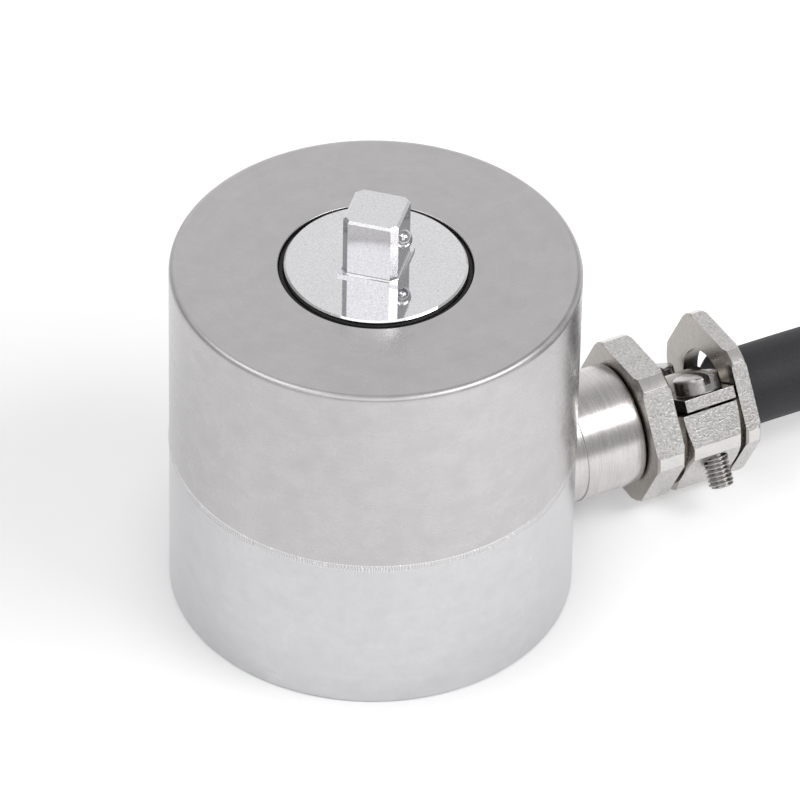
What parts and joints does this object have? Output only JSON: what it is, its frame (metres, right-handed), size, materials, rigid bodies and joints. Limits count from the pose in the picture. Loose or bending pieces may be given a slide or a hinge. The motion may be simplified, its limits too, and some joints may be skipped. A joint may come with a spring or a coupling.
{
  "type": "square drive torque sensor",
  "caption": "Short round reaction torque sensor with a male drive square and ball detent on top, a female square in the base, and a side cable gland with a clamp strap.",
  "frame": {"origin": "centre of the female drive square's mouth, in the sensor's bottom face", "axes": "+Z along the drive axis towards the male square, +X along the cable gland"},
  "size_m": [0.2332, 0.133, 0.0525],
  "materials": {
    "housing_steel": "satin turned stainless steel",
    "weld_steel": "machined laser weld bead",
    "shaft_steel": "polished hardened steel",
    "ball_steel": "polished bearing ball",
    "spring_steel": "drawn spring wire",
    "seal_rubber": "smooth black rubber",
    "screw_steel": "plain stainless steel",
    "gauge_foil": "polyimide backed foil",
    "board_laminate": "green glass laminate",
    "wire_enamel": "enamelled copper wire",
    "core_insulation": "coloured core insulation",
    "boss_steel": "turned stainless steel",
    "gland_nickel": "nickel plated brass, faintly grainy",
    "clamp_screw_steel": "nickel plated steel",
    "cable_jacket": "matt dark grey polyurethane",
    "tie_nylon": "black nylon",
    "boot_plastic": "black shrink sleeve",
    "ferrule_tin": "tinned copper"
  },
  "bodies": {
    "housing": {"base_housing": "housing_steel", "upper_housing": "housing_steel", "seam_weld": "weld_steel", "torsion_shaft": "shaft_steel", "detent_spring": "spring_steel", "hub_seal": "seal_rubber", "foot_screws": "screw_steel", "strain_gauges": "gauge_foil", "terminal_board": "board_laminate", "gauge_wires": "wire_enamel", "cable_cores": "core_insulation", "cable_boss": "boss_steel", "seal_bush": "seal_rubber", "seal_washers": "screw_steel", "pressure_screw": "gland_nickel", "cable_lead": "cable_jacket", "clamp_strap": "gland_nickel", "clamp_screw_near": "clamp_screw_steel", "clamp_screw_far": "clamp_screw_steel", "cable": "cable_jacket", "cable_coil": "cable_jacket", "coil_ties": "tie_nylon", "end_boot": "boot_plastic", "lead_cores": "core_insulation", "lead_ferrules": "ferrule_tin"},
    "detent_ball": {"detent_ball": "ball_steel"}
  },
  "joints": [
    {"name": "ball_press", "type": "slide", "parent": "housing", "child": "detent_ball", "axis": [0.7254, -0.6884, 0], "range_m": [-0.0009, 0], "stiffness_N_per_m": 1500, "deforming": ["detent_spring"]}
  ]
}
